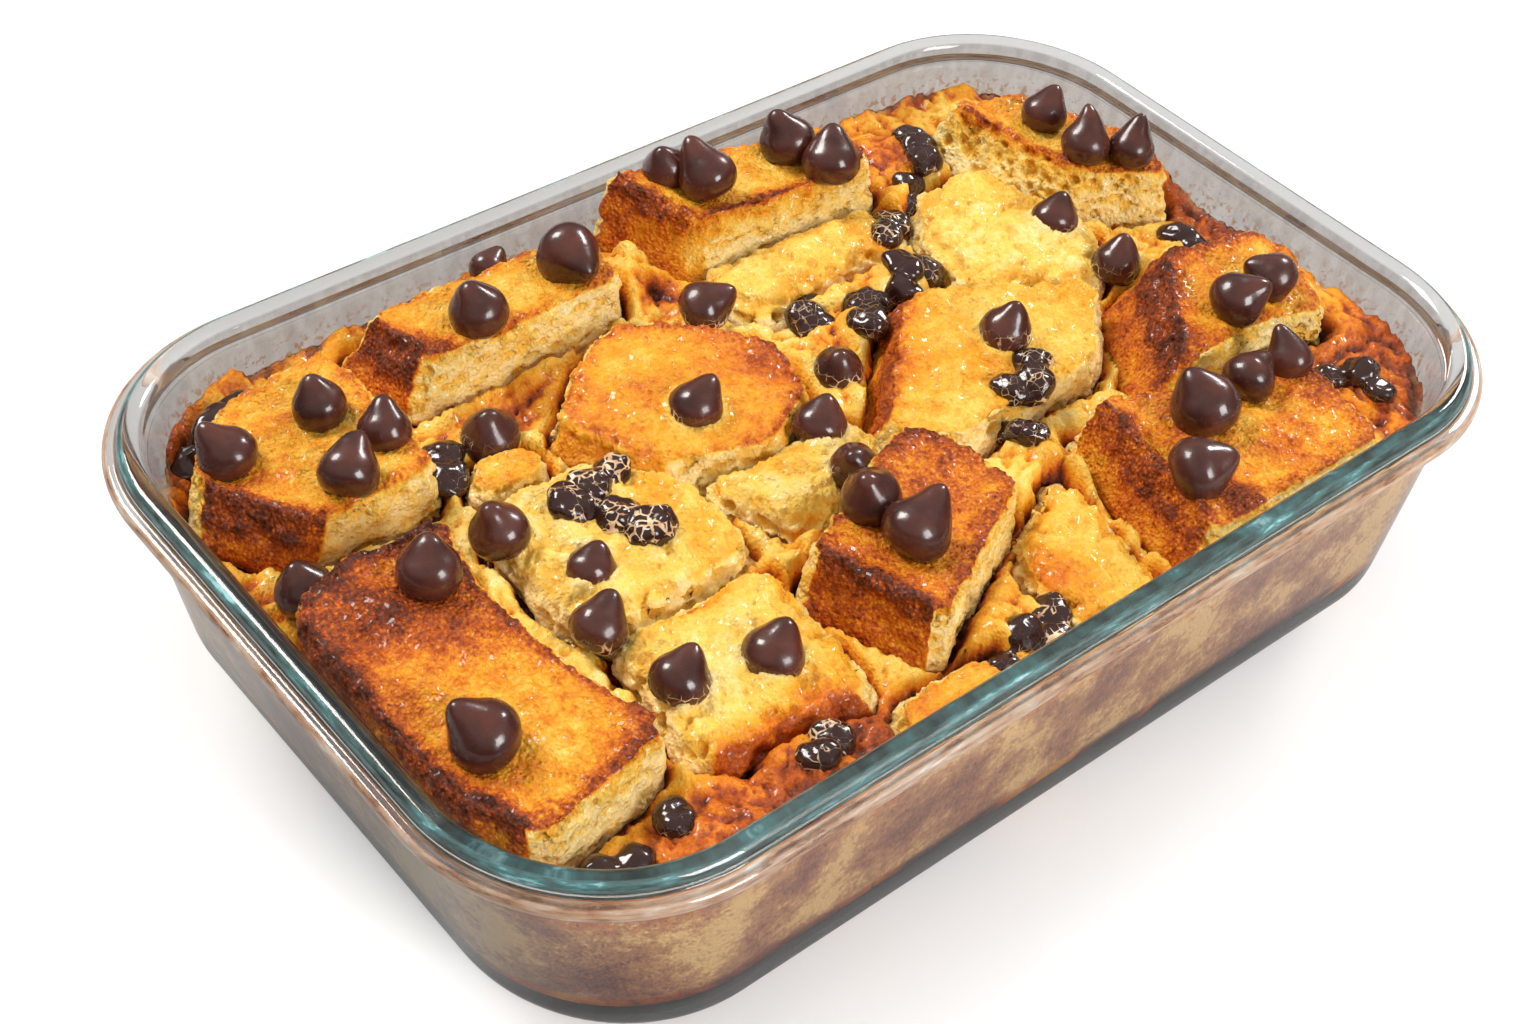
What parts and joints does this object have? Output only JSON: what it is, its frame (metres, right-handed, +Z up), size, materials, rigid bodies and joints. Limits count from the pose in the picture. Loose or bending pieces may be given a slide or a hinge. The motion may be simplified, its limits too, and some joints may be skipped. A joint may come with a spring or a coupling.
{
  "type": "bread pudding",
  "caption": "Baked bread pudding with toasted and custard-soaked bread and chocolate drops, in a rounded rectangular glass oven dish with a flanged rim.",
  "frame": {"origin": "under the middle of the dish's base, on the surface that it stands on", "axes": "+X along the dish's long side, +Y across it, +Z up"},
  "size_m": [0.2104, 0.1382, 0.0541],
  "materials": {
    "dish": "clear pressed glass, smooth, faintly blue green where it is seen edge on",
    "custard": "baked egg custard, wet and glossy, yellow with orange skins",
    "toasted_bread": "toasted bread, orange gold with dark brown ridges, fine crumb and a thin glaze",
    "golden_bread": "soaked bread with a golden top, soft and slightly glossy",
    "soaked_bread": "custard-soaked bread, pale yellow, soft, wrinkled and wet",
    "chocolate": "dark chocolate, smooth with a soft gloss"
  },
  "bodies": {
    "root": {"dish": "dish", "custard": "custard", "bread_left_back": "toasted_bread", "bread_left_front": "toasted_bread", "bread_back_left": "toasted_bread", "bread_back_mid": "toasted_bread", "bread_right_back": "toasted_bread", "bread_right": "toasted_bread", "bread_front_right": "toasted_bread", "bread_front_mid": "toasted_bread", "bread_centre_left": "golden_bread", "bread_centre_right": "golden_bread", "bread_centre_low": "soaked_bread", "bread_left_mid": "soaked_bread", "bread_left_low": "soaked_bread", "bread_front_scrap": "golden_bread", "bread_front_soaked": "soaked_bread", "bread_right_soaked": "soaked_bread", "bread_back_soaked": "soaked_bread", "bread_left_scrap": "golden_bread", "drop_01": "chocolate", "drop_02": "chocolate", "drop_03": "chocolate", "drop_04": "chocolate", "drop_05": "chocolate", "drop_06": "chocolate", "drop_07": "chocolate", "drop_08": "chocolate", "drop_09": "chocolate", "drop_10": "chocolate", "drop_11": "chocolate", "drop_12": "chocolate", "drop_13": "chocolate", "drop_14": "chocolate", "drop_15": "chocolate", "drop_16": "chocolate", "drop_17": "chocolate", "drop_18": "chocolate", "drop_19": "chocolate", "drop_20": "chocolate", "drop_21": "chocolate", "drop_22": "chocolate", "drop_23": "chocolate", "drop_24": "chocolate", "drop_25": "chocolate", "drop_26": "chocolate", "drop_27": "chocolate", "drop_28": "chocolate", "drop_29": "chocolate", "drop_30": "chocolate", "drop_31": "chocolate", "drop_32": "chocolate", "drop_33": "chocolate", "drop_34": "chocolate", "drop_35": "chocolate", "drop_36": "chocolate", "drop_37": "chocolate", "drop_38": "chocolate", "drop_39": "chocolate"}
  },
  "joints": []
}
